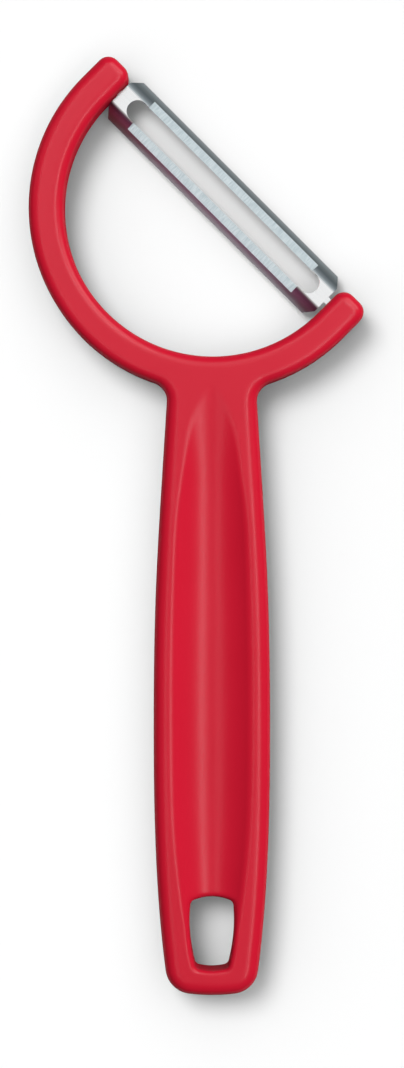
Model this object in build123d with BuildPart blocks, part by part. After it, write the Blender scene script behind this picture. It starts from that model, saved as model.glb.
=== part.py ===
from build123d import *

import os
from math import asin, cos, degrees, radians, sin, tan

os.makedirs("parts", exist_ok=True)

# Y-shaped vegetable peeler, lying on its back: a one-piece moulded handle whose two springy arms carry
# a double-edged blade strip that swivels between them.
# Millimetres. +X across the grip, +Y along it towards the head, +Z up out of the face.
# The origin is the middle of the hanging hole, on the plane that the peeler lies on.

# Handle moulding: overall form
frame_thickness = 8.0
outer_edge_radius = 1.7
reach = 119.2  # from the middle of the hanging hole to the centre of the arch
hole_to_butt = 10.15
grip_width = 19.14
butt_corner_radius = 4.4
neck_radius = 3.2

# Sides of the grip, from the butt to the middle of the arch band: how far along, and how wide there
side_station_shares = (0.008, 0.06, 0.22, 0.43, 0.65, 0.86, 1.0)
side_width_shares = (0.75, 0.822, 0.958, 1.0, 0.963, 0.839, 0.745)

# Arch and arms
arch_inner_radius = 24.45
arch_offset = 0.15  # of the arch's centre, to the right of the grip's middle line
arm_width = 5.8
arm_straight = 6.0  # straight run of each arm past the half circle
arm_tip_radius = 2.05
head_angle = -45.0  # from +X to the blade's long axis, which runs down to the right

# Finger groove, the same on the face and on the back
groove_depth = 1.5
groove_width = 14.2
groove_start = 4.6  # from the inside of the arch to the groove's tip
groove_lift = 0.03  # leaves a faint crease where the groove leaves the flat
rim_share = 0.2  # of the section's two radii, the part that the rounded rim takes
groove_run_out = 3.6  # how far the groove runs on past the middle of the hanging hole
groove_station_shares = (0.0, 0.03, 0.06, 0.135, 0.21, 0.305, 0.46, 0.68, 0.77, 0.84, 0.9, 0.95, 1.0)
groove_width_shares = (0.17, 0.41, 0.57, 0.71, 0.85, 0.94, 1.0, 1.0, 0.96, 0.875, 0.775, 0.64, 0.34)
groove_depth_shares = (0.02, 0.17, 0.37, 0.7, 0.9, 1.0, 1.0, 1.0, 1.0, 0.97, 0.87, 0.67, 0.25)

# Hanging hole: widest near its top, narrower at its foot
hole_height = 12.0
hole_width = 7.3
hole_foot_width = 5.3
hole_bow = 0.75
hole_corner_radius = 0.95
hole_edge_radius = 0.8

# Blade strip: one folded sheet with a long slot and a pivot tab at each end
sheet = 0.7
web_width = 3.9
wing_reach = 2.25
wing_slope = 47.0  # degrees below the web
fold_radius = 0.4  # on the inside of the sheet
web_end_gap = 0.4  # between the web and each arm, with the blade midway between them
slot_bridge = 2.35  # web left between the slot and each end
slot_width = 3.56
slot_edge_radius = 0.18
edge_setback = 2.6  # from each end of the slot to the ground cutting edges beside it
edge_reach = 1.22  # how far the grinding runs out over the wing
edge_land = 0.05
wing_corner_step = 0.65  # of the wing's end left square beside the fold
wing_corner_run = 1.35

# Pivots: a flat tab in an hourglass socket, whose ridges stop the swing
pivot_rise = 2.65  # from the arch's centre to the swivel axis, towards the open side
blade_drift = 0.25  # the strip's end play, taken up towards the upper arm
tab_width = 1.12
tab_length = 2.2
tab_lead = 0.15
socket_clearance = 0.05
socket_end_clearance = 0.55  # past the tab's tip, with the end play taken up
swivel_limit = 40.0
stop_margin = 1.0  # degrees between the end of the swing and the ridges

overrun = 1.0  # how far cuts run past the faces that they open

mid_height = frame_thickness / 2
arch_outer_radius = arch_inner_radius + arm_width
head_u = Vector(cos(radians(head_angle)), sin(radians(head_angle)), 0)
head_v = Vector(-head_u.Y, head_u.X, 0)
head_centre = Vector(arch_offset, reach, mid_height)
pivot_centre = head_centre + head_v * pivot_rise
blade_centre = pivot_centre - head_u * blade_drift
web_length = 2 * (arch_inner_radius - web_end_gap)
slot_length = web_length - 2 * slot_bridge
edge_length = slot_length - 2 * edge_setback
socket_depth = tab_length - web_end_gap + blade_drift + socket_end_clearance

# Handle
# The grip's outline is a smooth curve down each side and a bowed butt. The arch is a half circle
# that runs on as two short straight arms, turned so that the blade lies at the head angle.
side_span = hole_to_butt + reach - arch_inner_radius - arm_width / 2
side_points = [
    (grip_width / 2 * width, side_span * station - hole_to_butt)
    for station, width in zip(side_station_shares, side_width_shares)
]

with BuildPart() as handle:
    with BuildSketch() as grip_outline:
        with BuildLine() as grip_line:
            right_side = Spline(side_points)
            left_side = Spline([(-x, y) for x, y in side_points])
            ThreePointArc(left_side @ 0, (0, -hole_to_butt), right_side @ 0)
            Line(left_side @ 1, right_side @ 1)
        make_face()
    extrude(amount=frame_thickness)

    arch_plane = Plane(origin=(arch_offset, reach, 0), x_dir=head_u, z_dir=(0, 0, 1))
    with BuildSketch(arch_plane) as arch_outline:
        with BuildLine() as arch_line:
            ThreePointArc((-arch_outer_radius, 0), (0, -arch_outer_radius), (arch_outer_radius, 0))
            ThreePointArc((-arch_inner_radius, 0), (0, -arch_inner_radius), (arch_inner_radius, 0))
            for side in (-1, 1):
                Polyline(
                    (side * arch_outer_radius, 0),
                    (side * arch_outer_radius, arm_straight),
                    (side * arch_inner_radius, arm_straight),
                    (side * arch_inner_radius, 0),
                )
        make_face()
    extrude(amount=frame_thickness)

    upright_edges = handle.edges().filter_by(lambda edge: abs((edge @ 1 - edge @ 0).Z) > mid_height)
    neck_edges = upright_edges.filter_by_position(
        Axis.Y, reach - arch_outer_radius, reach - arch_inner_radius
    )
    tip_edges = upright_edges.group_by(Axis((0, 0, 0), head_v))[-1]
    butt_edges = upright_edges.group_by(Axis.Y)[0]
    fillet(neck_edges, radius=neck_radius)
    fillet(tip_edges, radius=arm_tip_radius)
    fillet(butt_edges, radius=butt_corner_radius)
    flat_faces = handle.faces().filter_by(Axis.Z)
    fillet(flat_faces.edges(), radius=outer_edge_radius)

    # The hanging hole goes right through, with its rim rounded over on both faces.
    with BuildSketch() as hole_outline:
        with BuildLine() as hole_line:
            top_y = hole_height / 2 - hole_bow
            foot_y = -hole_height / 2 + hole_bow / 2
            top_right = (hole_width / 2 - hole_bow / 4, top_y)
            foot_right = (hole_foot_width / 2, foot_y)
            top_left = (-top_right[0], top_y)
            foot_left = (-foot_right[0], foot_y)
            ThreePointArc(top_left, (0, hole_height / 2), top_right)
            ThreePointArc(top_right, (hole_width / 2, hole_bow), foot_right)
            ThreePointArc(foot_right, (0, -hole_height / 2), foot_left)
            ThreePointArc(foot_left, (-hole_width / 2, hole_bow), top_left)
        make_face()
        fillet(hole_outline.vertices(), radius=hole_corner_radius)
    extrude(amount=frame_thickness, mode=Mode.SUBTRACT)
    hole_rims = handle.edges(Select.LAST).filter_by(lambda edge: abs((edge @ 1 - edge @ 0).Z) < mid_height)
    fillet(hole_rims, radius=hole_edge_radius)

    # Each section of the groove is a rounded rim, a hollow and a rim again, tangent to each other:
    # the sum of their radii is (w^2 + d^2) / 2d for a half width w and a depth d.
    groove_top = reach - arch_inner_radius - groove_start
    groove_length = groove_top + groove_run_out
    for face_height, out in ((frame_thickness, 1), (0, -1)):
        groove_sections = []
        for station, width, depth in zip(
            groove_station_shares, groove_width_shares, groove_depth_shares
        ):
            half = groove_width / 2 * width
            deep = groove_depth * depth
            radii = (half**2 + deep**2) / (2 * deep)
            slope = degrees(asin(half / radii))
            station_plane = Plane(
                origin=(0, groove_top - groove_length * station, face_height + out * groove_lift),
                x_dir=(1, 0, 0),
                z_dir=(0, out, 0),
            )
            with BuildSketch(station_plane, mode=Mode.PRIVATE) as section:
                with BuildLine():
                    rim_in = JernArc((-half, 0), (1, 0), rim_share * radii, slope)
                    hollow = JernArc(rim_in @ 1, rim_in % 1, (1 - rim_share) * radii, -2 * slope)
                    rim_out = JernArc(hollow @ 1, hollow % 1, rim_share * radii, slope)
                    Polyline(rim_out @ 1, (half, -overrun), (-half, -overrun), (-half, 0))
                make_face()
            groove_sections.append(section.sketch.face())
        loft(groove_sections, mode=Mode.SUBTRACT)

    # Each arm has a blind socket in its inner face: a round bore with a ridge above and below the
    # tab, whose crests meet the tab's flats at the end of the swing.
    tab_corner = (tab_width**2 + sheet**2) ** 0.5 / 2
    socket_radius = tab_corner + socket_clearance
    stop_angle = radians(swivel_limit + stop_margin)
    ridge_crest = sheet / 2 / cos(stop_angle)
    ridge_half = socket_radius / tan(stop_angle)
    for side in (-1, 1):
        socket_plane = Plane(
            origin=pivot_centre + head_u * side * arch_inner_radius, x_dir=head_v, z_dir=head_u * side
        )
        with BuildSketch(socket_plane) as socket:
            Circle(socket_radius)
            for flank in (-1, 1):
                with BuildLine():
                    Polyline(
                        (0, flank * ridge_crest),
                        (ridge_half, flank * (ridge_crest + socket_radius)),
                        (-ridge_half, flank * (ridge_crest + socket_radius)),
                        close=True,
                    )
                make_face(mode=Mode.SUBTRACT)
        extrude(amount=socket_depth, mode=Mode.SUBTRACT)

handle.part.label = "handle"
export_step(handle.part, "parts/handle.step")

# Swivel blade
# Sections are drawn across the strip: first coordinate towards the open side, second upwards, from
# the swivel axis, which lies in the middle of the sheet.
slope_angle = radians(wing_slope)
half_web = web_width / 2
wing_tip = (half_web + wing_reach, sheet / 2 - wing_reach * tan(slope_angle))
inner_tip = (wing_tip[0] - sheet * sin(slope_angle), wing_tip[1] - sheet * cos(slope_angle))
inner_fold = (half_web - sheet * tan(slope_angle / 2), -sheet / 2)

# The ground flat runs from just above the sheet's underside at the slot to the outside of the wing.
slot_side = slot_width / 2
edge_height = inner_fold[1] - max(slot_side - inner_fold[0], 0) * tan(slope_angle) + edge_land
edge_outer = (half_web + edge_reach, sheet / 2 - edge_reach * tan(slope_angle))
edge_fall = (edge_height - edge_outer[1]) / (edge_outer[0] - slot_side)

section_plane = Plane(origin=blade_centre, x_dir=head_v, z_dir=head_u)
plan_plane = Plane(origin=blade_centre, x_dir=head_u, z_dir=(0, 0, 1))

with BuildPart() as swivel_blade:
    with BuildSketch(section_plane) as strip_section:
        with BuildLine() as strip_line:
            for flank in (-1, 1):
                outside = FilletPolyline(
                    (0, sheet / 2),
                    (flank * half_web, sheet / 2),
                    (flank * wing_tip[0], wing_tip[1]),
                    radius=fold_radius + sheet,
                )
                inside = FilletPolyline(
                    (0, -sheet / 2),
                    (flank * inner_fold[0], inner_fold[1]),
                    (flank * inner_tip[0], inner_tip[1]),
                    radius=fold_radius,
                )
                Line(outside @ 1, inside @ 1)
        make_face()
    extrude(amount=web_length / 2, both=True)

    # The slot is punched through the web, its upper rim rolled over by the punch.
    with BuildSketch(plan_plane) as slot:
        SlotOverall(slot_length, slot_width)
    extrude(amount=sheet + overrun, both=True, mode=Mode.SUBTRACT)
    slot_walls = swivel_blade.edges(Select.LAST)
    slot_rim = slot_walls.filter_by(lambda edge: edge.center().Z > blade_centre.Z)
    fillet(slot_rim, radius=slot_edge_radius)

    # The corners of the wings are cut off, so that they pass the arms as the blade turns.
    with BuildSketch(plan_plane) as wing_corners:
        for end in (-1, 1):
            for flank in (-1, 1):
                with BuildLine():
                    Polyline(
                        (end * web_length / 2, flank * (half_web + wing_corner_step)),
                        (end * (web_length / 2 - wing_corner_run), flank * wing_tip[0]),
                        (end * (web_length / 2 - wing_corner_run), flank * (wing_tip[0] + overrun)),
                        (end * (web_length / 2 + overrun), flank * (wing_tip[0] + overrun)),
                        (end * (web_length / 2 + overrun), flank * (half_web + wing_corner_step)),
                        close=True,
                    )
                make_face()
    extrude(amount=wing_reach + sheet + overrun, both=True, mode=Mode.SUBTRACT)

    # Both shoulders are ground flat along the slot, which leaves a cutting edge on each side of it.
    with BuildSketch(section_plane) as grinding:
        for flank in (-1, 1):
            with BuildLine():
                Polyline(
                    (flank * (slot_side - overrun), edge_height + edge_fall * overrun),
                    (flank * (edge_outer[0] + overrun), edge_outer[1] - edge_fall * overrun),
                    (flank * (edge_outer[0] + overrun), sheet / 2 + overrun),
                    (flank * (slot_side - overrun), sheet / 2 + overrun),
                    close=True,
                )
            make_face()
    extrude(amount=edge_length / 2, both=True, mode=Mode.SUBTRACT)

    # A narrow tab of the same sheet stands out of each end of the web, its tip eased for the socket.
    for end in (-1, 1):
        tab_plane = Plane(
            origin=blade_centre + head_u * end * web_length / 2, x_dir=head_v, z_dir=head_u * end
        )
        with BuildSketch(tab_plane) as tab:
            Rectangle(tab_width, sheet)
        extrude(amount=tab_length)
    tab_tips = swivel_blade.faces().group_by(Axis((0, 0, 0), head_u))
    for tip in (tab_tips[0], tab_tips[-1]):
        chamfer(tip.edges(), length=tab_lead)

swivel_blade.part.label = "swivel_blade"
export_step(swivel_blade.part, "parts/swivel_blade.step")
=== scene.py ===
import bmesh
import bpy
import numpy as np
from mathutils import Matrix, Vector


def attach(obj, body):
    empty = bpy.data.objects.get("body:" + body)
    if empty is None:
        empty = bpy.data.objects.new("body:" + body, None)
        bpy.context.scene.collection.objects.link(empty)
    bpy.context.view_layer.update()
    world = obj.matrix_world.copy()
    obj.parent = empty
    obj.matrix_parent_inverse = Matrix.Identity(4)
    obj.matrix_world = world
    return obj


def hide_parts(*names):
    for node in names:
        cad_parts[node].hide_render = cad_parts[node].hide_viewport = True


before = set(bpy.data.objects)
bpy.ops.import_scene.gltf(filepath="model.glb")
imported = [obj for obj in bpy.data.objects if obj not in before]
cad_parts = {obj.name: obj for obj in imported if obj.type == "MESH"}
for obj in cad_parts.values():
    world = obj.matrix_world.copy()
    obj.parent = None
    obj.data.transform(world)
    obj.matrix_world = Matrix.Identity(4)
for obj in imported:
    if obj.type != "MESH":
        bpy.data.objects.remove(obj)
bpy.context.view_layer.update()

# Handle
# One injection moulding in rigid red plastic, satin from its mould: the grip with a long thumb
# groove in each face, the hanging hole through its foot, and the two springy arms that curve round
# to the blade. Each arm has a blind socket in its inner face for the blade's tab.
mm = 0.001
thickness = 8.0 * mm
grip_edge = (1.9 * mm, 2.4 * mm)  # how far a rounded edge falls and how far in it starts
arm_edge = (1.6 * mm, 2.0 * mm)
edge_fullness = 0.8  # 1 for a quarter of an ellipse, and less for gentler ends
neck_blend = (84.0 * mm, 94.0 * mm)  # where the grip's rounded edge passes into the arms'
hole_to_butt = 10.15 * mm
reach = 119.2 * mm
grip_width = 19.14 * mm
butt_corner_radius = 4.4 * mm
neck_radius = 3.2 * mm  # of the fillets between the grip and the arch
side_shares = np.array(
    [  # up the grip: station, width
        (0.008, 0.75),
        (0.06, 0.822),
        (0.22, 0.958),
        (0.43, 1.0),
        (0.65, 0.963),
        (0.86, 0.839),
        (1.0, 0.745),
    ]
)

arch_inner_radius = 24.45 * mm
arch_offset = 0.15 * mm  # of the arch's centre, to the right of the grip's middle
arm_width = 5.8 * mm
arm_straight = 6.0 * mm
arm_tip_radius = 2.05 * mm
arch_outer_radius = arch_inner_radius + arm_width
arch_centre = np.array([arch_offset, reach])
head_lean = np.pi / 4  # of the blade, down to the right
head_u = np.array([1.0, -1.0]) / 2**0.5  # along the blade, towards the lower arm
head_v = np.array([1.0, 1.0]) / 2**0.5  # towards the open side of the arch

groove_depth = 1.5 * mm
groove_width = 14.2 * mm
groove_start = 4.6 * mm  # below the arch
groove_run_out = 3.6 * mm  # below the hanging hole's middle
least_depth = 0.001 * mm
rim_share = 0.2  # of the groove's curve that its rounded rims take up
tip_rim_share = 0.45  # added to it at the groove's tip, and less down to the next share
tip_run_share = 0.16
groove_shares = np.array(
    [  # down the groove: station, width, depth
        (0.0, 0.17, 0.0),
        (0.03, 0.41, 0.08),
        (0.06, 0.57, 0.2),
        (0.135, 0.71, 0.52),
        (0.21, 0.85, 0.8),
        (0.305, 0.94, 0.97),
        (0.46, 1.0, 1.0),
        (0.68, 1.0, 1.0),
        (0.77, 0.96, 1.0),
        (0.84, 0.875, 0.97),
        (0.9, 0.775, 0.87),
        (0.95, 0.64, 0.67),
        (1.0, 0.34, 0.25),
    ]
)

hole_height = 12.0 * mm
hole_width = 7.3 * mm
hole_foot_width = 5.3 * mm
hole_bow = 0.75 * mm  # how far its sides bulge
hole_corner_radius = 0.95 * mm
hole_edge = (0.85 * mm, 1.05 * mm)

sheet = 0.7 * mm
tab_width = 1.12 * mm
socket_clearance = 0.05 * mm
socket_depth = 2.6 * mm
stop_angle = np.radians(41.0)
pivot_rise = 2.65 * mm  # of the swivel axis, from the arch's centre towards its open side

# How finely the surfaces are laid
side_samples = 4000
foot_counts = (36, 12, 14)  # points on the foot's side, its corner and half of its butt
neck_counts = (130, 9)  # points on the grip's side and on half of the neck's fillet
end_counts = (9, 7, 5)  # points on an arm's straight run, its tip's corner and half of the tip
hole_count = 60  # points on each side and each corner of the hanging hole
arc_step = 0.55 * mm
columns = 72  # across the grip
ray_count = 17  # points from the foot's edge to the hanging hole's rim
edge_rows, hole_edge_rows, wall_rows = 13, 11, 5  # points up a rounded edge and up the wall
foot_top = 11.5 * mm  # where the rays round the hanging hole give way to rows across the grip


def smooth_curve(stations, values):
    """The cubic curve through the values at the stations, straight at both ends: its second
    derivatives make neighbouring cubics meet with one slope, which is a tridiagonal system."""
    x = np.asarray(stations, float)
    y = np.asarray(values, float)
    step = np.diff(x)
    slope = np.diff(y) / step
    inside = np.arange(1, len(x) - 1)
    system = np.eye(len(x))
    system[inside, inside - 1] = step[:-1]
    system[inside, inside] = 2 * (step[:-1] + step[1:])
    system[inside, inside + 1] = step[1:]
    bends = np.zeros(len(x))
    bends[1:-1] = 6 * np.diff(slope)
    bend = np.linalg.solve(system, bends)

    def at(where):
        where = np.clip(where, x[0], x[-1])
        k = np.clip(np.searchsorted(x, where) - 1, 0, len(x) - 2)
        before, after, width = where - x[k], x[k + 1] - where, step[k]
        cubic = (bend[k] * after**3 + bend[k + 1] * before**3) / (6 * width)
        line = (y[k] / width - bend[k] * width / 6) * after
        return cubic + line + (y[k + 1] / width - bend[k + 1] * width / 6) * before

    return at


def around(centre, radius, start, end, count):
    """Points on a circle and their directions from its centre, for evenly spaced angles."""
    angle = np.linspace(start, end, count)
    out = np.stack([np.cos(angle), np.sin(angle)], 1)
    return centre + radius * out, out


def turn_to(vector, near):
    """The angle of a vector, within half a turn of another angle."""
    angle = np.arctan2(vector[1], vector[0])
    return angle + 2 * np.pi * np.round((near - angle) / (2 * np.pi))


side_span = hole_to_butt + reach - arch_inner_radius - arm_width / 2
side_stations = side_span * side_shares[:, 0] - hole_to_butt
side_half_width = smooth_curve(side_stations, grip_width / 2 * side_shares[:, 1])
side_y = np.linspace(side_stations[0], side_stations[-1], side_samples)
side_points = np.stack([side_half_width(side_y), side_y], 1)
side_slope = np.gradient(side_points[:, 0], side_y)
side_normals = np.stack([np.ones_like(side_y), -side_slope], 1) / np.hypot(1, side_slope)[:, None]


def on_side(height):
    """The point of the grip's right side at a height, and the direction out of it."""
    point = np.stack([np.interp(height, side_y, side_points[:, k]) for k in (0, 1)], -1)
    normal = np.stack([np.interp(height, side_y, side_normals[:, k]) for k in (0, 1)], -1)
    return point, normal


def join(parts):
    """Several stretches of outline as one, without the points that repeat where they meet."""
    points = np.concatenate([parts[0][0]] + [p[0][1:] for p in parts[1:]])
    normals = np.concatenate([parts[0][1]] + [p[1][1:] for p in parts[1:]])
    return points, normals


def foot_outline(side_top, side_count, corner_count, butt_count):
    """Right half of the foot, from the middle of the bowed butt to the side: an arc through the
    butt's three points, a corner that touches both, and the side."""
    half, low = side_points[0]
    sag = low + hole_to_butt
    butt_radius = (half**2 + sag**2) / (2 * sag)
    butt_centre = np.array([0.0, butt_radius - hole_to_butt])
    centres = side_points - butt_corner_radius * side_normals
    miss = np.hypot(*(centres - butt_centre).T) - (butt_radius - butt_corner_radius)
    low_half = slice(None, side_samples // 2)
    meet = np.interp(0, -miss[low_half], side_y[low_half])
    point, normal = on_side(meet)
    centre = point - butt_corner_radius * normal
    down = turn_to(centre - butt_centre, -np.pi / 2)
    parts = [
        around(butt_centre, butt_radius, -np.pi / 2, down, butt_count),
        around(centre, butt_corner_radius, down, turn_to(normal, 0), corner_count),
        on_side(np.linspace(meet, side_top, side_count)),
    ]
    return join(parts)


def neck_outline(centre, side_bottom, side_count, fillet_count):
    """The right side from the foot up to the middle of the neck's fillet, and the fillet's rest up
    to the arch: the fillet's centre is one radius out from the side and from the arch."""
    centres = side_points + neck_radius * side_normals
    miss = np.hypot(*(centres - centre).T) - (arch_outer_radius + neck_radius)
    high_half = slice(side_samples // 2, None)
    meet = np.interp(0, -miss[high_half], side_y[high_half])
    point, normal = on_side(meet)
    corner = point + neck_radius * normal
    start = turn_to(-normal, np.pi)
    end = turn_to(centre - corner, np.pi / 2)
    middle = (start + end) / 2
    low = around(corner, neck_radius, start, middle, fillet_count)
    high = around(corner, neck_radius, middle, end, fillet_count)
    side = on_side(np.linspace(side_bottom, meet, side_count))
    low, high = (low[0], -low[1]), (high[0], -high[1])
    return join([side, low]), high, turn_to(corner - centre, -np.pi / 2)


def arm_end(side, inner, counts):
    """One arm past the half circle, from the arc's end to the middle of its tip: a straight run, a
    rounded corner and half of the tip. side is 1 for the right arm, inner picks its inner face."""
    face = arch_inner_radius if inner else arch_outer_radius
    out = -1.0 if inner else 1.0
    straight_count, corner_count, tip_count = counts
    run = arm_straight - arm_tip_radius
    corner = face - out * arm_tip_radius
    angle = np.linspace(0, np.pi / 2, corner_count)
    cos, sin = np.cos(angle), np.sin(angle)
    middle = (arch_inner_radius + arch_outer_radius) / 2
    stretches = (  # places along head_u and head_v, and the direction out of the arm there
        (face, np.linspace(0, run, straight_count), out, 0),
        (corner + out * arm_tip_radius * cos, run + arm_tip_radius * sin, out * cos, sin),
        (np.linspace(corner, middle, tip_count), arm_straight, 0, 1),
    )
    parts = []
    for stretch in stretches:
        u, v, out_u, out_v = (part[:, None] for part in np.broadcast_arrays(*stretch))
        point = arch_centre + side * u * head_u + v * head_v
        parts.append((point, side * out_u * head_u + out_v * head_v))
    return join(parts)


def edge_size(points):
    """How far the rounded outer edge falls and how far in it starts: the grip's sizes, which pass
    smoothly into the arms' at the neck."""
    share = np.clip((points[:, 1] - neck_blend[0]) / (neck_blend[1] - neck_blend[0]), 0, 1)
    share = share**2 * (3 - 2 * share)
    return [grip + (arm - grip) * share[:, None] for grip, arm in zip(grip_edge, arm_edge)]


def inset(outline):
    """The line where the rounded edge passes into the flat face."""
    points, normals = outline
    return points - normals * edge_size(points)[1]


groove_top = reach - arch_inner_radius - groove_start
groove_length = groove_top + groove_run_out
groove_half = smooth_curve(groove_shares[:, 0], groove_width / 2 * groove_shares[:, 1])
groove_deep = smooth_curve(groove_shares[:, 0], groove_depth * groove_shares[:, 2])


def groove(x, y):
    """Depth of the thumb groove below the flat. Across it lies a rounded rim, a hollow and a rim
    again, tangent to each other: the sum of their radii is (w^2 + d^2) / 2d. Towards the neck the
    rims take up more of it, so that it runs out softly."""
    station = (groove_top - y) / groove_length
    half = groove_half(station)
    within = (station > 0) & (station < 1)
    deep = np.where(within, np.clip(groove_deep(station), least_depth, None), least_depth)
    radii = (half**2 + deep**2) / (2 * deep)
    share = rim_share + tip_rim_share * np.clip(1 - station / tip_run_share, 0, 1) ** 2
    rim, hollow = share * radii, (1 - share) * radii
    sine = half / radii
    across = np.abs(x)
    on_rim = rim - np.sqrt(np.clip(rim**2 - np.clip(half - across, 0, rim) ** 2, 0, None))
    in_hollow = deep - (hollow - np.sqrt(np.clip(hollow**2 - across**2, 0, None)))
    depth = np.where(across < half - rim * sine, in_hollow, on_rim)
    return np.where(across < half, np.clip(depth, 0, None), 0)


def hole_outline(count):
    """The hanging hole: four bowed sides whose corners are rounded. Each side is an arc through
    three points. Drawn in by the corner radius, the sides meet in the corners' centres."""
    top_y = hole_height / 2 - hole_bow
    foot_y = -hole_height / 2 + hole_bow / 2
    top_x = hole_width / 2 - hole_bow / 4
    foot_x = hole_foot_width / 2
    end_y, side_x = hole_height / 2, hole_width / 2
    corners = [(top_x, top_y), (-top_x, top_y), (-foot_x, foot_y), (foot_x, foot_y)]
    crowns = [(0, end_y), (-side_x, hole_bow), (0, -end_y), (side_x, hole_bow)]
    circles = []
    for k, crown in enumerate(crowns):
        a, b, c = (np.array(p) for p in (corners[k], crown, corners[(k + 1) % 4]))
        system = 2 * np.array([b - a, c - a])
        centre = np.linalg.solve(system, [b @ b - a @ a, c @ c - a @ a])
        circles.append((centre, np.hypot(*(a - centre)) - hole_corner_radius))
    centres = []
    for k in range(4):
        (a, ra), (b, rb) = circles[k - 1], circles[k]
        apart = b - a
        gap = np.hypot(*apart)
        along = (gap**2 + ra**2 - rb**2) / (2 * gap)
        off = np.sqrt(ra**2 - along**2)
        both = [
            a + apart / gap * along + sign * off * np.array([-apart[1], apart[0]]) / gap
            for sign in (1, -1)
        ]
        centres.append(min(both, key=lambda p: np.hypot(*(p - np.array(corners[k])))))
    points, normals = [], []
    for k, (centre, radius) in enumerate(circles):
        corner, (next_centre, _) = centres[(k + 1) % 4], circles[(k + 1) % 4]
        toward = np.pi / 2 * (k + 1)
        start = turn_to(centres[k] - centre, toward)
        end = turn_to(corner - centre, toward)
        next_start = turn_to(corner - next_centre, toward + np.pi / 2)
        side, side_out = around(centre, radius, start, end, count)
        bend, bend_out = around(corner, hole_corner_radius, end, next_start, count)
        points += [side + hole_corner_radius * side_out, bend]
        normals += [side_out, bend_out]
    return np.concatenate(points), np.concatenate(normals)


def backwards(outline):
    """The same stretch of outline, run the other way."""
    return outline[0][::-1], outline[1][::-1]


def mirrored(outline):
    """The same stretch of outline on the other side of the grip's middle line."""
    return outline[0] * (-1, 1), outline[1] * (-1, 1)


# The outline is drawn in matched stretches, so that the flat faces are grids between them.
foot = foot_outline(foot_top, *foot_counts)
sides, arms = {}, {}
for side in (1, -1):
    own_centre = arch_centre * (side, 1)  # as seen when this side is the right one
    lower, upper, tangent = neck_outline(own_centre, foot_top, *neck_counts)
    if side == -1:
        lower, upper, tangent = mirrored(lower), mirrored(upper), -np.pi - tangent
    sides[side] = lower
    arc_end = -head_lean if side == 1 else -np.pi - head_lean
    arc_count = int(abs(arc_end - tangent) * arch_outer_radius / arc_step)
    arc = around(arch_centre, arch_outer_radius, tangent, arc_end, arc_count)
    outer = join([upper, arc])
    # The inner face has a point straight across from each point of the outer edge.
    angle = np.unwrap(np.arctan2(*(inset(outer) - arch_centre).T[::-1]))
    angle[-1] = arc_end + 2 * np.pi * np.round((angle[-1] - arc_end) / (2 * np.pi))
    facing = np.stack([np.cos(angle), np.sin(angle)], 1)
    inner = (arch_centre + arch_inner_radius * facing, -facing)
    arms[side] = [
        join([outer, arm_end(side, False, end_counts)]),
        join([inner, arm_end(side, True, end_counts)]),
    ]

# The row at the neck, between the middles of its two fillets, and the arch's inner face above it.
share = np.linspace(0, 1, columns + 1)[:, None]
row_right, row_left = inset(sides[1])[-1], inset(sides[-1])[-1]
top_row = row_right + (row_left - row_right) * share
facing = (top_row - arch_centre) / np.hypot(*(top_row - arch_centre).T)[:, None]
crotch = (arch_centre + arch_inner_radius * facing, -facing)
loop = join(
    [foot, sides[1], arms[1][0], backwards(arms[1][1]), crotch, arms[-1][1]]
    + [backwards(arms[-1][0]), backwards(sides[-1]), backwards(mirrored(foot))]
)


class Skin:
    """The surface of one piece, laid as grids of points."""

    def __init__(self):
        self.points, self.faces, self.marks = [], [], []
        self.count = 0

    def lay(self, x, y, z, mark=0.0):
        """Adds a grid of points, rows by columns, as quads, each with a mark for its finish."""
        x, y, z = np.broadcast_arrays(x, y, z)
        rows, cols = z.shape
        index = self.count + np.arange(rows * cols).reshape(rows, cols)
        self.count += rows * cols
        self.points.append(np.stack([x.ravel(), y.ravel(), z.ravel()], 1))
        corners = [index[:-1, :-1], index[1:, :-1], index[1:, 1:], index[:-1, 1:]]
        self.faces.append(np.stack([c.ravel() for c in corners], 1))
        self.marks.append(np.broadcast_to(mark, (rows - 1, cols - 1)).ravel())


skin = Skin()


def lay_faces(x, y):
    """Adds a grid over the plan twice: on the face and, mirrored, on the back."""
    depth = groove(x, y)
    skin.lay(x, y, thickness - depth)
    skin.lay(x[:, ::-1], y[:, ::-1], depth[:, ::-1])


def lay_between(first, second, count):
    """Adds straight rungs between two lines of points, on the face and on the back: the first line
    plus a share, from 0 to 1, of the way to the second."""
    share = np.linspace(0, 1, count)
    lay_faces(*(a[:, None] + (b - a)[:, None] * share for a, b in zip(first.T, second.T)))


def lay_wall(outline, out, fall, start, rows):
    """Adds a rounded edge, the wall and a rounded edge along an outline. Each edge is a quarter of
    a superellipse, |x / start|^(2 / p) + |z / fall|^(2 / p) = 1 for the fullness p, set off from
    the face's own height there. out is -1 for the hole, with plastic outside."""
    points, normals = outline
    angle = np.linspace(0, np.pi / 2, rows)
    inward = start * (1 - np.sin(angle) ** edge_fullness)
    drop = fall * (1 - np.clip(np.cos(angle), 0, 1) ** edge_fullness)
    x = points[:, :1] - out * normals[:, :1] * inward
    y = points[:, 1:] - out * normals[:, 1:] * inward
    depth = groove(x, y) + drop
    skin.lay(x, y, thickness - depth)
    skin.lay(x[:, ::-1], y[:, ::-1], depth[:, ::-1])
    low = depth[:, -1:]
    wall = np.linspace(0, 1, wall_rows)
    skin.lay(points[:, :1], points[:, 1:], thickness - low + (2 * low - thickness) * wall)


lay_wall(loop, 1, *edge_size(loop[0]), edge_rows)

# The grip: rows from side to side, between the foot and the neck.
right, left = inset(sides[1]), inset(sides[-1])
lay_between(right, left, columns + 1)

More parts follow.
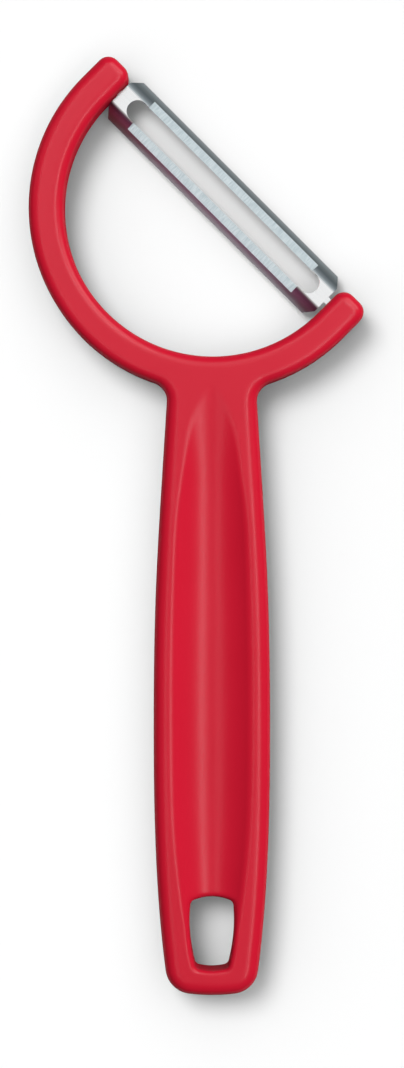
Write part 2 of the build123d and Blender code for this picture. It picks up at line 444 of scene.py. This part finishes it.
# The arch and arms: rungs between the outer and the inner edge, from tip to tip. The first and the
# last rung are the straight lines across the tips.
rungs = {side: [inset(o)[: 1 - end_counts[2]] for o in arms[side]] for side in (1, -1)}
outside = np.concatenate([rungs[1][0][::-1], top_row[1:-1], rungs[-1][0]])
inside = np.concatenate([rungs[1][1][::-1], inset(crotch)[1:-1], rungs[-1][1]])
lay_between(outside, inside, 2 * end_counts[2] - 1)

# The foot: rays to the hanging hole's rim from the foot's edge and from the grip's first row. The
# hole's outline is read off at the turn of each ray.
first_row = right[0] + (left[0] - right[0]) * share
foot_edge = inset(foot)
rim = np.concatenate([foot_edge, first_row[1:], (foot_edge * (-1, 1))[::-1][1:]])
hole_points, hole_normals = hole_outline(hole_count)
hole_rim = hole_points + hole_edge[1] * hole_normals
wanted = np.unwrap(np.arctan2(rim[:, 1], rim[:, 0]))
known = np.mod(np.arctan2(hole_rim[:, 1], hole_rim[:, 0]) - wanted[0], 2 * np.pi)
order = np.argsort(known)


def at_turn(values):
    """Values along the hanging hole's outline, at the turn of each ray round the hole."""
    found = np.interp(wanted - wanted[0], known[order], values[order], period=2 * np.pi)
    found[-1] = found[0]
    return found


hole_line = np.stack([at_turn(hole_points[:, k]) for k in (0, 1)], 1)
hole_out = np.stack([at_turn(hole_normals[:, k]) for k in (0, 1)], 1)
hole_out = hole_out / np.hypot(*hole_out.T)[:, None]
hole_rim = hole_line + hole_edge[1] * hole_out
lay_between(rim, hole_rim, ray_count)
lay_wall((hole_line, hole_out), -1, *hole_edge, hole_edge_rows)

weld_distance = 0.002 * mm
least_edge = 0.001 * mm


def mesh_object(name, points, faces, marks=None):
    """A mesh from arrays of points and faces, with repeated points merged and faces turned out."""
    mesh = bpy.data.meshes.new(name)
    mesh.from_pydata(points.tolist(), [], faces.tolist())
    if marks is not None:
        mesh.attributes.new("ground", "FLOAT", "FACE").data.foreach_set("value", marks)
    made = bmesh.new()
    made.from_mesh(mesh)
    bmesh.ops.remove_doubles(made, verts=made.verts, dist=weld_distance)
    bmesh.ops.dissolve_degenerate(made, edges=made.edges, dist=least_edge)
    bmesh.ops.recalc_face_normals(made, faces=made.faces)
    made.to_mesh(mesh)
    made.free()
    mesh.shade_smooth()
    piece = bpy.data.objects.new(name, mesh)
    bpy.context.scene.collection.objects.link(piece)
    return piece


handle = mesh_object("moulded_handle", np.concatenate(skin.points), np.concatenate(skin.faces))


def socket_cutter(side, turn_count=17):
    """The hollow that takes a tab: a round bore less a ridge above and below the tab, whose crests
    are where a tab that has turned to the stop angle lies."""
    bore = np.hypot(tab_width, sheet) / 2 + socket_clearance
    crest = sheet / 2 / np.cos(stop_angle)
    flank = np.arcsin(crest * np.cos(stop_angle) / bore) + stop_angle
    turn = np.linspace(-flank, flank, turn_count)
    arc = np.stack([np.cos(turn), np.sin(turn)], 1) * bore
    section = np.concatenate([arc, [(0, crest)], -arc, [(0, -crest)]])
    centre = arch_centre + pivot_rise * head_v
    ends = []
    for along in (arch_inner_radius - socket_depth, arch_inner_radius + socket_depth):
        flat = centre + side * along * head_u + section[:, :1] * head_v
        ends.append(np.concatenate([flat, thickness / 2 + section[:, 1:]], 1))
    count = len(section)
    ring = np.arange(count)
    after = (ring + 1) % count
    walls = np.stack([ring, after, after + count, ring + count], 1)
    made = mesh_object("socket_cutter", np.concatenate(ends), walls)
    shape = bmesh.new()
    shape.from_mesh(made.data)
    bmesh.ops.holes_fill(shape, edges=shape.edges)
    bmesh.ops.recalc_face_normals(shape, faces=shape.faces)
    shape.to_mesh(made.data)
    shape.free()
    return made


cutters = [socket_cutter(side) for side in (1, -1)]
for cutter in cutters:
    cut = handle.modifiers.new("socket", "BOOLEAN")
    cut.operation = "DIFFERENCE"
    cut.solver = "EXACT"
    cut.object = cutter
bpy.context.view_layer.update()
evaluated = handle.evaluated_get(bpy.context.evaluated_depsgraph_get())
finished = bpy.data.meshes.new_from_object(evaluated)
handle.modifiers.clear()
handle.data = finished
moulded_crease = np.radians(45.0)  # an edge that bends further stays sharp
finished.set_sharp_from_angle(angle=moulded_crease)
for cutter in cutters:
    bpy.data.objects.remove(cutter)


class Value:
    """A node's output that can be used in sums: each sum adds a Math node."""

    def __init__(self, finish, socket):
        self.finish = finish
        self.socket = socket

    def math(self, operation, *values):
        inputs = dict(enumerate(values))
        return self.finish.node("ShaderNodeMath", {"operation": operation}, inputs)

    def __add__(self, other):
        return self.math("ADD", self, other)

    def __sub__(self, other):
        return self.math("SUBTRACT", self, other)

    def __rsub__(self, other):
        return self.math("SUBTRACT", other, self)

    def __mul__(self, other):
        return self.math("MULTIPLY", self, other)

    __radd__ = __add__
    __rmul__ = __mul__


class Finish:
    """A material and its nodes."""

    def __init__(self, name):
        self.material = bpy.data.materials.new(name)
        self.material.use_nodes = True
        self.tree = self.material.node_tree
        self.tree.nodes.clear()

    def node(self, kind, settings, inputs, output=0):
        """Adds a node: its settings first, then the values or links of its sockets."""
        made = self.tree.nodes.new(kind)
        for name, value in settings.items():
            if name == "stops":
                ramp = made.color_ramp.elements
                while len(ramp) < len(value):
                    ramp.new(1.0)
                for stop, (place, colour) in zip(ramp, value):
                    stop.position = place
                    stop.color = colour
            else:
                setattr(made, name, value)
        for name, value in inputs.items():
            if isinstance(value, Value):
                self.tree.links.new(value.socket, made.inputs[name])
            else:
                made.inputs[name].default_value = value
        return Value(self, made.outputs[output]) if made.outputs else None


def noise(finish, vector, scale, detail):
    """Noise between 0 and 1, with so many cells to the metre."""
    inputs = {"Vector": vector, "Scale": scale, "Detail": detail}
    return finish.node("ShaderNodeTexNoise", {}, inputs, "Fac")


def mixed(finish, share, first, second, mode="MIX"):
    """Two colours mixed. A Mix node's sockets for them are its inputs 6 and 7 and its output 2."""
    settings = {"data_type": "RGBA", "blend_type": mode}
    return finish.node("ShaderNodeMix", settings, {0: share, 6: first, 7: second}, 2)


def bumped(finish, height, strength, depth):
    """The surface's direction, tilted by a height that varies over so many metres."""
    inputs = {"Strength": strength, "Distance": depth, "Height": height}
    return finish.node("ShaderNodeBump", {}, inputs, "Normal")


red = Finish("red_moulded_plastic")
place = red.node("ShaderNodeTexCoord", {}, {}, "Object")
grain = noise(red, place, 2600.0, 3.0)
cloud = noise(red, place, 90.0, 2.0)
texture = bumped(red, grain, 0.25, 0.05 * mm)
tint = mixed(red, cloud, (0.60, 0.0085, 0.028, 1.0), (0.64, 0.0100, 0.033, 1.0))
away = red.node("ShaderNodeLayerWeight", {}, {"Blend": 0.5}, "Facing")
plastic = red.node(
    "ShaderNodeBsdfPrincipled",
    {},
    {
        "Base Color": tint,
        "Roughness": 0.20 + 0.04 * cloud + 0.6 * away * away,
        "IOR": 1.5,
        "Specular IOR Level": 0.05,
        "Coat Weight": 0.44 * (1 - away) * (1 - away),
        "Coat Roughness": 0.27,
        "Normal": texture,
    },
)
red.node("ShaderNodeOutputMaterial", {}, {"Surface": plastic})
handle.data.materials.clear()
handle.data.materials.append(red.material)
handle.visible_diffuse = False  # so that it throws no red light on the paper
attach(handle, "handle")
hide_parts("handle")

# Swivel blade
# A strip of stainless steel sheet, folded down along both sides, with a long slot along its middle.
# Both shoulders are ground flat beside the slot, which leaves a cutting edge on each side of it. The
# stamped tab at each end turns in an arm's socket, and the arms' spring holds the strip between them.
strip_half = 4.2 * mm  # in plan, from the swivel axis to a wing's edge
web_length = 48.1 * mm
bend_places = (0.0, 1.47 * mm, 2.3 * mm, strip_half)
bend_slopes = np.radians((0.0, 0.0, 41.0, 53.0))  # below the web, so that a wing curls a little
slot_length = 43.4 * mm
slot_half = 1.78 * mm
slot_rim = 0.18 * mm
ground_length = 38.2 * mm
ground_reach = 3.17 * mm  # in plan, from the swivel axis to the outside of the grinding
edge_land = 0.05 * mm
corner_step = 2.6 * mm  # in plan, from the swivel axis to where a wing's corner is cut off
corner_run = 1.35 * mm
tab_length = 2.2 * mm
tab_lead = 0.15 * mm
blade_drift = 0.25 * mm  # of its end play, taken up towards the upper arm
pivot = arch_centre + pivot_rise * head_v - blade_drift * head_u
blade_centre = np.array([*pivot, thickness / 2])

plan_samples = 900
ground_count, straight_count, end_count = 70, 6, 10  # points along the strip's stretches
shoulder_rows, ground_rows, wing_rows = 6, 8, 11  # points across them, from the slot outwards
tab_count, beside_tab_count = 3, 10  # points across half of the web's end
rim_rows, end_rows = 6, 9  # points over the slot's rim, and from it to the web's end

plan = np.linspace(0, strip_half, plan_samples)
slope = np.interp(plan, bend_places, bend_slopes)
drops = np.diff(plan) * (np.tan(slope[1:]) + np.tan(slope[:-1])) / 2
upper = sheet / 2 - np.concatenate([[0], np.cumsum(drops)])
plan_under, under = plan - sheet * np.sin(slope), upper - sheet * np.cos(slope)


def sheet_top(v):
    """The upper face of the folded sheet: its slope, summed up outwards from the swivel axis."""
    return np.interp(np.abs(v), plan, upper)


def sheet_under(v):
    """The underside: one sheet's thickness in from the upper face, square to it."""
    return np.interp(np.abs(v), plan_under, under)


edge_height = sheet_under(slot_half) + edge_land
ground_fall = (edge_height - sheet_top(ground_reach)) / (ground_reach - slot_half)


def strip_top(v, rounding, ground):
    """The upper face less the rounding of a rim, and cut off by the ground flat where that is."""
    flat = edge_height - ground_fall * (np.abs(v) - slot_half)
    plain = sheet_top(v) - rounding
    return np.where(ground, np.minimum(plain, flat), plain)


def lay_strip(u, v, height, mark=0.0):
    """Adds a grid whose points are given along the strip, across it and above its middle."""
    u, v, height = np.broadcast_arrays(u, v, height)
    x, y = (blade_centre[k] + u * head_u[k] + v * head_v[k] for k in (0, 1))
    skin.lay(x, y, blade_centre[2] + height, mark)


def cut_corner(rows, u, full):
    """Rows across a wing, from its fold to its edge, drawn in to the slanting cut at its ends."""
    cut = corner_step + (web_length / 2 - np.abs(u)) * (strip_half - corner_step) / corner_run
    share = (np.minimum(full, cut) - corner_step) / (full - corner_step)
    return np.where(rows > corner_step, corner_step + (rows - corner_step) * share[:, None], rows)


skin = Skin()
straight = slot_length / 2 - slot_half
corner_start = web_length / 2 - corner_run
half_u = np.concatenate(
    [
        np.linspace(0, ground_length / 2, ground_count),
        np.linspace(ground_length / 2, straight, straight_count),
        np.linspace(straight, corner_start, end_count)[1:],
        np.linspace(corner_start, web_length / 2, straight_count)[1:],
    ]
)
half_ground = np.arange(len(half_u)) < ground_count
u = np.concatenate([-half_u[:0:-1], half_u])
ground = np.concatenate([half_ground[:0:-1], half_ground])
rim_outside = slot_half + slot_rim
rows = np.concatenate(
    [
        np.linspace(rim_outside, bend_places[2], shoulder_rows),
        np.linspace(bend_places[2], ground_reach, ground_rows)[1:],
        np.linspace(ground_reach, strip_half, wing_rows)[1:],
    ]
)
rows_under = np.linspace(slot_half, plan_under[-1], len(rows))
ground_faces = (ground[:-1] & ground[1:])[:, None] & (rows[1:] <= ground_reach)[None]

# The wings, each with its upper face, its underside and the cut face round its edge.
for flank in (1, -1):
    top_v = cut_corner(rows, u, strip_half)
    under_v = cut_corner(rows_under, u, plan_under[-1])
    top = strip_top(top_v, 0.0, ground[:, None])
    lay_strip(u[:, None], flank * top_v, top, ground_faces)
    lay_strip(u[:, None], flank * under_v, sheet_under(under_v))
    lay_strip(
        u[:, None],
        flank * np.stack([top_v[:, -1], under_v[:, -1]], 1),
        np.stack([top[:, -1], sheet_under(under_v[:, -1])], 1),
    )
    for last in (0, -1):
        pair = np.stack([top_v[last], under_v[last]], 1)
        lay_strip(u[last], flank * pair, np.stack([top[last], sheet_under(under_v[last])], 1))

# The slot's rim, rounded over by the punch, and its wall.
side_u, side_ground = u[np.abs(u) <= straight], ground[np.abs(u) <= straight]
end_u = half_u[half_u >= straight]
tab_half = tab_width / 2
beside_tab = np.linspace(tab_half, rim_outside, beside_tab_count)
end_v = np.concatenate([np.linspace(0, tab_half, tab_count), beside_tab[1:]])
end_v = np.concatenate([-end_v[:0:-1], end_v])
turns = np.linspace(-np.pi / 2, np.pi / 2, 2 * len(end_u) + len(end_v) - 2)
slot_points, slot_out, slot_ground = [], [], []
for end in (1, -1):
    slot_points.append(np.stack([end * side_u, np.full(len(side_u), -end * slot_half)], 1))
    slot_out.append(np.stack([np.zeros(len(side_u)), np.full(len(side_u), -float(end))], 1))
    slot_ground.append(side_ground)
    facing = end * np.stack([np.cos(turns), np.sin(turns)], 1)
    slot_points.append(slot_half * facing + (end * straight, 0))
    slot_out.append(facing)
    slot_ground.append(np.zeros(len(turns), bool))
slot_points, slot_out = np.concatenate(slot_points), np.concatenate(slot_out)
slot_ground = np.concatenate(slot_ground)
rim_turn = np.linspace(0, np.pi / 2, rim_rows)
rim_out = slot_rim * (1 - np.sin(rim_turn))
slot_grid = slot_points[:, None] + slot_out[:, None] * rim_out[None, :, None]
rim_top = strip_top(slot_grid[..., 1], slot_rim * (1 - np.cos(rim_turn)), slot_ground[:, None])
rim_ground = (slot_ground[:-1] & slot_ground[1:])[:, None]
lay_strip(slot_grid[..., 0], slot_grid[..., 1], rim_top, rim_ground)
lay_strip(
    slot_points[:, :1],
    slot_points[:, 1:],
    np.stack([rim_top[:, -1], sheet_under(slot_points[:, 1])], 1),
)

# The web's ends: rungs from the slot's round end to the end of the strip, and the tabs. A tab's
# section is carried out to its tip, which is drawn in by the lead and then to its middle.
shares = np.linspace(0, 1, end_rows)[:, None, None]
tab_across = np.linspace(-1, 1, 2 * tab_count - 1)
tab_v = tab_half * np.concatenate([tab_across, tab_across[::-1], [-1]])
tab_height = sheet / 2 * np.repeat([1, -1, 1], [len(tab_across), len(tab_across), 1])
tab_tip = web_length / 2 + tab_length
tab_u = np.array([web_length / 2, tab_tip - tab_lead, tab_tip, tab_tip])[:, None]
drawn_v = np.array([1, 1, 1 - tab_lead / tab_half, 0])[:, None]
drawn_height = np.array([1, 1, 1 - tab_lead / (sheet / 2), 0])[:, None]
for end in (1, -1):
    facing = np.stack([np.cos(turns), np.sin(turns)], 1)
    borders = []
    for half in (rim_outside, slot_half):
        past_tab = np.clip(np.abs(end_v) - tab_half, 0, None)
        past_tab = past_tab * (half - tab_half) / (rim_outside - tab_half)
        v = np.sign(end_v) * (np.minimum(np.abs(end_v), tab_half) + past_tab)
        border = np.concatenate(
            [
                np.stack([end_u, np.full(len(end_u), -half)], 1),
                np.stack([np.full(len(v), web_length / 2), v], 1)[1:-1],
                np.stack([end_u, np.full(len(end_u), half)], 1)[::-1],
            ]
        )
        borders.append(border[len(end_u) - 1 : len(border) - len(end_u) + 1])
        inner = half * facing + (straight, 0)
        grid = inner + (border - inner) * shares
        height = sheet_top(grid[..., 1]) if half == rim_outside else sheet_under(grid[..., 1])
        lay_strip(end * grid[..., 0], grid[..., 1], height)
    for beyond_tab in (1, -1):
        outer, lower = (b[beyond_tab * b[:, 1] >= tab_half] for b in borders)
        wall_v = np.stack([outer[:, 1], lower[:, 1]], 1)
        wall = np.stack([sheet_top(outer[:, 1]), sheet_under(lower[:, 1])], 1)
        lay_strip(end * web_length / 2, wall_v, wall)
    lay_strip(end * tab_u, tab_v * drawn_v, tab_height * drawn_height)

blade_parts = [np.concatenate(part) for part in (skin.points, skin.faces, skin.marks)]
blade = mesh_object("folded_blade", *blade_parts)
folded_crease = np.radians(16.0)
blade.data.set_sharp_from_angle(angle=folded_crease)

steel = Finish("folded_steel")
place = steel.node("ShaderNodeTexCoord", {}, {}, "Object")
# The strip's own directions for its patterns: along it, across it and up, from its middle.
turned_centre = [-blade_centre @ np.append(axis, 0) for axis in (head_u, head_v)]
along = steel.node(
    "ShaderNodeMapping",
    {},
    {
        "Vector": place,
        "Rotation": (0.0, 0.0, head_lean),
        "Location": (*turned_centre, -blade_centre[2]),
    },
)
ground_mark = steel.node("ShaderNodeAttribute", {"attribute_name": "ground"}, {}, "Fac")


def scratches(lengthwise, crosswise, detail):
    """Noise with so many cells to the metre along the strip and across it, which draws it out as
    grinding or rolling does."""
    stretch = (lengthwise, crosswise, crosswise)
    drawn = steel.node("ShaderNodeMapping", {}, {"Vector": along, "Scale": stretch})
    return noise(steel, drawn, 1.0, detail)


grinding = scratches(5200.0, 700.0, 3.0)
rolling = scratches(260.0, 5200.0, 2.0)
cloud = noise(steel, place, 220.0, 2.0)
polished = mixed(steel, rolling, (0.80, 0.81, 0.815, 1.0), (0.88, 0.885, 0.89, 1.0))
ground_steel = mixed(steel, grinding, (0.34, 0.44, 0.48, 1.0), (0.84, 0.90, 0.92, 1.0))
across = steel.node("ShaderNodeSeparateXYZ", {}, {"Vector": along}, "Y") * (1 / strip_half)
outwards = across.math("ABSOLUTE", across)
wing_start, wing_gain = 0.38, 6.0  # where the wings' rougher finish sets in and how quickly
rise = (outwards - wing_start) * wing_gain
wing = rise.math("MINIMUM", 1.0, rise.math("MAXIMUM", 0.0, rise))

# Tones across the strip, from the lower wing's edge at 0 to the upper wing's edge at 1. The wings'
# tones are painted reflections of polished steel at rest: the red arms mirrored in the lower wing, a
# dark room in the upper one.
painted_reflection_tones = (
    (0.000, (0.350, 0.335, 0.36, 1.0)),
    (0.030, (0.385, 0.380, 0.42, 1.0)),
    (0.080, (0.340, 0.290, 0.38, 1.0)),
    (0.140, (0.400, 0.260, 0.42, 1.0)),
    (0.180, (0.310, 0.150, 0.27, 1.0)),
    (0.217, (0.187, 0.067, 0.13, 1.0)),
    (0.252, (0.110, 0.046, 0.07, 1.0)),
    (0.276, (0.330, 0.290, 0.29, 1.0)),
    (0.305, (1.000, 1.000, 1.00, 1.0)),
    (0.690, (1.000, 1.000, 1.00, 1.0)),
    (0.735, (0.400, 0.450, 0.47, 1.0)),
    (0.780, (0.200, 0.230, 0.25, 1.0)),
    (0.845, (0.100, 0.120, 0.13, 1.0)),
    (0.910, (0.150, 0.170, 0.175, 1.0)),
    (0.945, (0.193, 0.227, 0.239, 1.0)),
    (1.000, (0.290, 0.310, 0.32, 1.0)),
)
station = 0.5 + 0.5 * across
# The wings' painted reflections, read off across the strip.
painted_wing_reflection = steel.node("ShaderNodeValToRGB", {"stops": painted_reflection_tones}, {"Fac": station}, "Color")
# The polished steel's own tone times the painted reflections on the wings.
steel_with_painted_reflection = mixed(steel, 1.0, polished, painted_wing_reflection, mode="MULTIPLY")
colour = mixed(steel, ground_mark, steel_with_painted_reflection, ground_steel)
polished_roughness = 0.18 + 0.05 * cloud + 0.12 * wing
ground_roughness = 0.42 + 0.10 * grinding
roughness = polished_roughness + ground_mark * (ground_roughness - polished_roughness)
relief = rolling * (1 - ground_mark) + grinding * ground_mark * 2.0
scratched = bumped(steel, relief, 0.15, 0.04 * mm)
bright = steel.node(
    "ShaderNodeBsdfPrincipled",
    {},
    {"Base Color": colour, "Metallic": 1.0, "Roughness": roughness, "Normal": scratched},
)
steel.node("ShaderNodeOutputMaterial", {}, {"Surface": bright})
blade.data.materials.clear()
blade.data.materials.append(steel.material)
blade.visible_diffuse = False  # so that it throws no bright patches on the paper
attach(blade, "blade")
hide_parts("swivel_blade")

# Floor and lamps
# The peeler lies on white paper. Each lamp lights one thing alone: two wide suns from the upper left
# lay the paper's soft shadow, soft boxes round the peeler light the handle, and a dome the blade.
paper = Finish("white_paper")
seen = sum(
    paper.node("ShaderNodeLightPath", {}, {}, ray)
    for ray in ("Is Camera Ray", "Is Glossy Ray", "Is Transmission Ray")
)
# It is white where it is seen, and dark to other rays, so that it throws little light back up.
shade = mixed(paper, seen, (0.1, 0.1, 0.1, 1.0), (0.9, 0.9, 0.9, 1.0))
diffuse = paper.node("ShaderNodeBsdfDiffuse", {}, {"Color": shade})
paper.node("ShaderNodeOutputMaterial", {}, {"Surface": diffuse})
paper_half = 3.0
corners = np.array([(-1, -1, 0), (1, -1, 0), (1, 1, 0), (-1, 1, 0)], float) * paper_half
floor = mesh_object("floor", corners, np.array([[0, 1, 2, 3]]))
floor.data.materials.append(paper.material)


def alone(name, piece):
    """A collection of one piece, for the lamps that light nothing else."""
    lit = bpy.data.collections.new(name)
    lit.objects.link(piece)
    return lit


handle_only = alone("handle_only", handle)
blade_only = alone("blade_only", blade)
paper_only = alone("paper_only", floor)
peeler_middle = Vector((0.0, 0.065, 0.004))


def lamp(name, kind, power, place, lit):
    """A lamp at a place seen from the peeler's middle, turned to that middle, its height along
    the grip."""
    light = bpy.data.lights.new(name, kind)
    light.energy = power
    made = bpy.data.objects.new(name, light)
    made.location = peeler_middle + Vector(place)
    back = Vector(place).normalized()
    side = Vector((0, 1, 0)).cross(back).normalized()
    made.rotation_euler = Matrix((side, back.cross(side), back)).transposed().to_euler()
    made.light_linking.receiver_collection = lit
    bpy.context.scene.collection.objects.link(made)
    return light


soft_boxes = (  # name, power, size, place and whether the plastic mirrors it
    ("right_box", 6.5, (0.5, 0.5), (0.92, 0.20, 0.74), False),
    ("left_box", 2.1, (0.5, 0.5), (-0.73, 0.42, 0.85), False),
    ("overhead_strip", 2.9, (0.10, 1.1), (0.23, 0.15, 1.0), True),
    ("second_strip", 1.1, (0.14, 1.1), (-0.16, 0.15, 1.0), True),
    ("head_box", 4.6, (0.5, 0.6), (0.6, 0.6, 0.9), True),
    ("arch_box", 1.0, (0.5, 0.5), (0.0, 0.42, 1.0), True),
)
for name, power, size, place, in_gloss in soft_boxes:
    light = lamp(name, "AREA", power, place, handle_only)
    light.shape = "RECTANGLE"
    light.size, light.size_y = size
    bpy.data.objects[name].visible_glossy = in_gloss

skies = (  # name, power, width in degrees, place, and the piece that it lights
    ("blade_sky", 3.0, 180.0, (0.0, 0.0, 1.0), blade_only),
    ("paper_sky", 2.2, 130.0, (-0.26, 0.30, 1.0), paper_only),
    ("paper_window", 1.62, 30.0, (-0.39, 0.46, 1.0), paper_only),
)
for name, power, spread, place, lit in skies:
    light = lamp(name, "SUN", power, place, lit)
    light.angle = np.radians(spread)
    if lit == paper_only:
        light.cycles.use_multiple_importance_sampling = False  # so that the handle shades all of it

world = bpy.data.worlds.new("studio")
bpy.context.scene.world = world
world.use_nodes = True
background = world.node_tree.nodes["Background"]
background.inputs["Color"].default_value = (1, 1, 1, 1)
background.inputs["Strength"].default_value = 0.03

# Camera
# It looks straight down on the peeler, from the height that the photograph's perspective shows. Its
# lens takes in the photograph's frame, at the level of the blade.
pixel = 0.165 * mm
image_size = (404, 1068)
image_centre = (202.0, 534.0)
origin_pixel = (211.8, 931.5)
camera_height = 550.0 * mm
blade_level = thickness / 2
lens = bpy.data.cameras.new("camera")
lens.sensor_fit = "VERTICAL"
lens.sensor_height = 24.0
lens.lens = lens.sensor_height * (camera_height - blade_level) / (image_size[1] * pixel)
camera = bpy.data.objects.new("camera", lens)
camera.location = (
    (image_centre[0] - origin_pixel[0]) * pixel,
    (origin_pixel[1] - image_centre[1]) * pixel,
    camera_height,
)
bpy.context.scene.collection.objects.link(camera)
bpy.context.scene.camera = camera
bpy.context.scene.view_settings.view_transform = "Standard"
